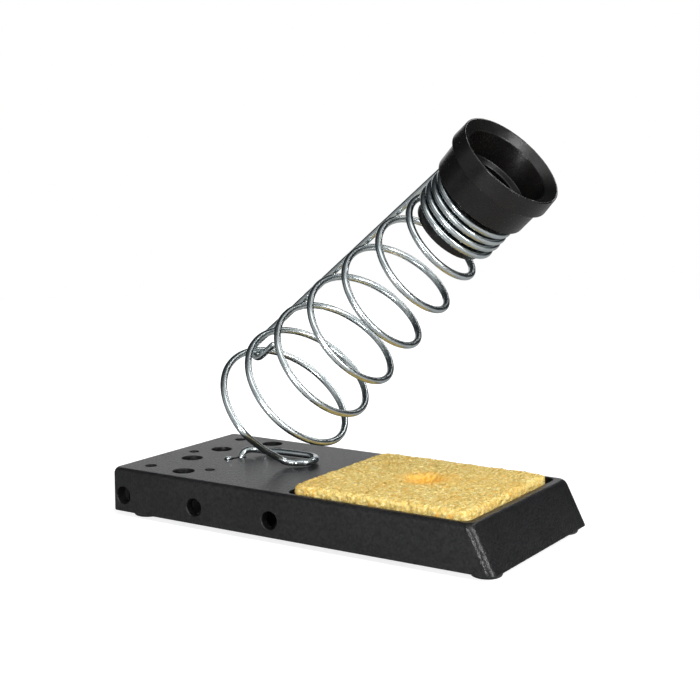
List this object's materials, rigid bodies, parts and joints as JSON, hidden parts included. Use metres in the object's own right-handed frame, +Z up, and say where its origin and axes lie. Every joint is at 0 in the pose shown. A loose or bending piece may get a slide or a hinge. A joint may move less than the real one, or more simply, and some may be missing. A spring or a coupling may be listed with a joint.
{
  "type": "soldering iron stand",
  "caption": "Low weighted base with a sponge in a well and storage holes, and a slanted tapering wire coil with a plastic funnel that holds a hot soldering iron.",
  "frame": {"origin": "on the bench surface at the centre of the whole stand's footprint", "axes": "+X along the base towards the sponge and the sloping end, +Y across the base, +Z up"},
  "size_m": [0.1465, 0.07, 0.1348],
  "materials": {
    "base": "black satin with a fine leather-like grain",
    "steel": "zinc-plated sheet and screws",
    "plated_wire": "bright nickel-plated spring wire",
    "rubber_foot": "black, slightly glossy",
    "sponge": "open-pored cellulose, dry",
    "funnel": "near-black satin moulding"
  },
  "bodies": {
    "base": {"base_moulding": "base", "bottom_plate": "steel", "plate_screw_left_front": "steel", "plate_screw_left_back": "steel", "plate_screw_right_front": "steel", "plate_screw_right_back": "steel", "foot_left_front": "rubber_foot", "foot_left_back": "rubber_foot", "foot_right_front": "rubber_foot", "foot_right_back": "rubber_foot", "wire_root": "plated_wire"},
    "holder": {"coil_lower": "plated_wire", "coil_middle": "plated_wire", "coil_upper": "plated_wire", "coil_collar": "plated_wire", "stay_rod": "plated_wire"},
    "funnel": {"funnel_insert": "funnel"},
    "sponge": {"sponge_pad": "sponge"}
  },
  "joints": [
    {"name": "holder_sway", "type": "hinge", "parent": "base", "child": "holder", "pos_m": [-0.0203, 0, 0.01815], "axis": [0, 1, 0], "range_deg": [-3, 3], "stiffness_Nm_per_rad": 3, "springref_deg": -0.39},
    {"name": "funnel_pull", "type": "slide", "parent": "holder", "child": "funnel", "axis": [0.7137, -0.0902, 0.6947], "range_m": [0, 0.018]},
    {"name": "sponge_lift", "type": "slide", "parent": "base", "child": "sponge", "axis": [0, 0, 1], "range_m": [0, 0.012]}
  ]
}
